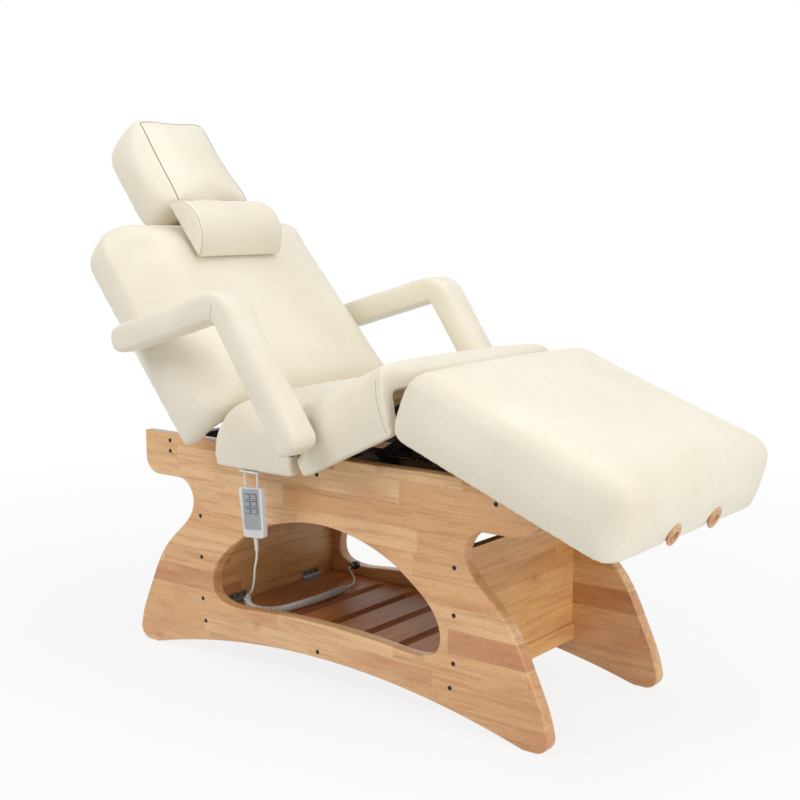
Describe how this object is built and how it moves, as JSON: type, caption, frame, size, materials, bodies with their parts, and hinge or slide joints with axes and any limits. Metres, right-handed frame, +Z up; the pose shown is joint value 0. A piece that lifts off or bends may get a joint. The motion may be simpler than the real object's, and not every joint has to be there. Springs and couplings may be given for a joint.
{
  "type": "massage table",
  "caption": "Electric massage table with an arched wooden base and shelf, ivory upholstered back, seat, thigh and leg sections, padded arms, headrest, bolster and corded handset.",
  "frame": {"origin": "centre of the overall box on the floor, cord left out", "axes": "+X towards the foot end, +Y away from the handset side, +Z up"},
  "size_m": [1.7154, 0.896, 1.3622],
  "materials": {
    "rubberwood": "satin varnish, finger-jointed strips",
    "plywood": "raw",
    "black_steel": "black powder coat",
    "bright_steel": "bright",
    "ivory_leather": "soft sheen",
    "hinge_metal": "dark antique",
    "black_cover": "gloss",
    "actuator_plastic": "matt",
    "tab_fabric": "woven tape",
    "handset_white": "fine texture",
    "keypad_grey": "matt film",
    "button_grey": "matt",
    "hanger_wire": "white coat",
    "cord_white": "smooth",
    "plug_black": "matt"
  },
  "bodies": {
    "base": {"side_panel_near": "rubberwood", "side_panel_far": "rubberwood", "end_board_head": "rubberwood", "end_board_foot": "rubberwood", "shelf_panel": "rubberwood", "shelf_rail_head": "rubberwood", "shelf_rail_foot": "rubberwood", "shelf_rail_mid": "rubberwood", "seat_board": "plywood", "top_frame": "black_steel", "seat_carrier_near": "black_steel", "seat_carrier_far": "black_steel", "hip_shaft": "bright_steel", "seat_cushion": "ivory_leather", "shelf_hinges_head": "hinge_metal", "shelf_hinges_foot": "hinge_metal", "deck_cover": "black_cover", "back_actuator": "actuator_plastic", "knee_actuator": "actuator_plastic", "handset_housing": "handset_white", "handset_keypad": "keypad_grey", "handset_hanger": "hanger_wire", "cord_relief": "cord_white", "cord_hang": "cord_white", "cord_curl": "cord_white", "cord_tail": "cord_white", "cord_plug": "plug_black", "cord_socket": "plug_black"},
    "back": {"back_frame": "black_steel", "back_board": "plywood", "back_cushion": "ivory_leather"},
    "headrest": {"headrest_cushion": "ivory_leather", "headrest_rod_near": "bright_steel", "headrest_rod_far": "bright_steel", "neck_bolster": "ivory_leather", "bolster_tab": "tab_fabric"},
    "thigh": {"thigh_frame": "black_steel", "thigh_board": "plywood", "thigh_cushion": "ivory_leather"},
    "leg": {"leg_frame": "black_steel", "leg_board": "plywood", "leg_cushion": "ivory_leather", "leg_end_rail": "rubberwood", "rosette_near": "rubberwood", "rosette_far": "rubberwood"},
    "leg_links": {"leg_link_near": "black_steel", "leg_link_far": "black_steel"},
    "back_rod": {"back_actuator_rod": "bright_steel"},
    "knee_rod": {"knee_actuator_rod": "bright_steel"},
    "arm_near": {"arm_pad_near": "ivory_leather", "arm_bracket_near": "black_steel"},
    "arm_far": {"arm_pad_far": "ivory_leather", "arm_bracket_far": "black_steel"},
    "button_1_up": {"button_1_up": "button_grey"},
    "button_1_down": {"button_1_down": "button_grey"},
    "button_2_up": {"button_2_up": "button_grey"},
    "button_2_down": {"button_2_down": "button_grey"},
    "button_3_up": {"button_3_up": "button_grey"},
    "button_3_down": {"button_3_down": "button_grey"}
  },
  "joints": [
    {"name": "back_recline", "type": "hinge", "parent": "base", "child": "back", "pos_m": [-0.28328, 0, 0.59], "axis": [0, -1, 0], "range_deg": [0, 51.1]},
    {"name": "headrest_slide", "type": "slide", "parent": "back", "child": "headrest", "axis": [-0.628, 0, 0.7782], "range_m": [0, 0.1]},
    {"name": "knee_raise", "type": "hinge", "parent": "base", "child": "thigh", "pos_m": [0.01212, 0, 0.59], "axis": [0, 1, 0], "range_deg": [0, 25.5]},
    {"name": "leg_fold", "type": "hinge", "parent": "thigh", "child": "leg", "pos_m": [0.28642, 0, 0.72084], "axis": [0, -1, 0], "range_deg": [0, 46.31]},
    {"name": "link_swing", "type": "hinge", "parent": "base", "child": "leg_links", "pos_m": [-0.05188, 0, 0.466], "axis": [0, 1, 0], "range_deg": [0, 22.23]},
    {"name": "back_rod_slide", "type": "slide", "parent": "base", "child": "back_rod", "axis": [1, 0, 0], "range_m": [0, 0.06902]},
    {"name": "knee_rod_slide", "type": "slide", "parent": "base", "child": "knee_rod", "axis": [-1, 0, 0], "range_m": [0, 0.03532]},
    {"name": "arm_near_swing", "type": "hinge", "parent": "base", "child": "arm_near", "pos_m": [0.01212, 0, 0.59], "axis": [0, -1, 0], "range_deg": [0, 60]},
    {"name": "arm_far_swing", "type": "hinge", "parent": "base", "child": "arm_far", "pos_m": [0.01212, 0, 0.59], "axis": [0, -1, 0], "range_deg": [0, 60]},
    {"name": "button_1_up_press", "type": "slide", "parent": "base", "child": "button_1_up", "axis": [0, 1, 0], "range_m": [0, 0.0015], "stiffness_N_per_m": 600},
    {"name": "button_1_down_press", "type": "slide", "parent": "base", "child": "button_1_down", "axis": [0, 1, 0], "range_m": [0, 0.0015], "stiffness_N_per_m": 600},
    {"name": "button_2_up_press", "type": "slide", "parent": "base", "child": "button_2_up", "axis": [0, 1, 0], "range_m": [0, 0.0015], "stiffness_N_per_m": 600},
    {"name": "button_2_down_press", "type": "slide", "parent": "base", "child": "button_2_down", "axis": [0, 1, 0], "range_m": [0, 0.0015], "stiffness_N_per_m": 600},
    {"name": "button_3_up_press", "type": "slide", "parent": "base", "child": "button_3_up", "axis": [0, 1, 0], "range_m": [0, 0.0015], "stiffness_N_per_m": 600},
    {"name": "button_3_down_press", "type": "slide", "parent": "base", "child": "button_3_down", "axis": [0, 1, 0], "range_m": [0, 0.0015], "stiffness_N_per_m": 600}
  ],
  "couplings": [
    {"joint": "leg_fold", "follows": "knee_raise", "ratio": 1.8157},
    {"joint": "link_swing", "follows": "knee_raise", "ratio": 0.8713},
    {"joint": "knee_rod_slide", "follows": "knee_raise", "m_per_rad": 0.079341},
    {"joint": "back_rod_slide", "follows": "back_recline", "m_per_rad": 0.077375}
  ]
}
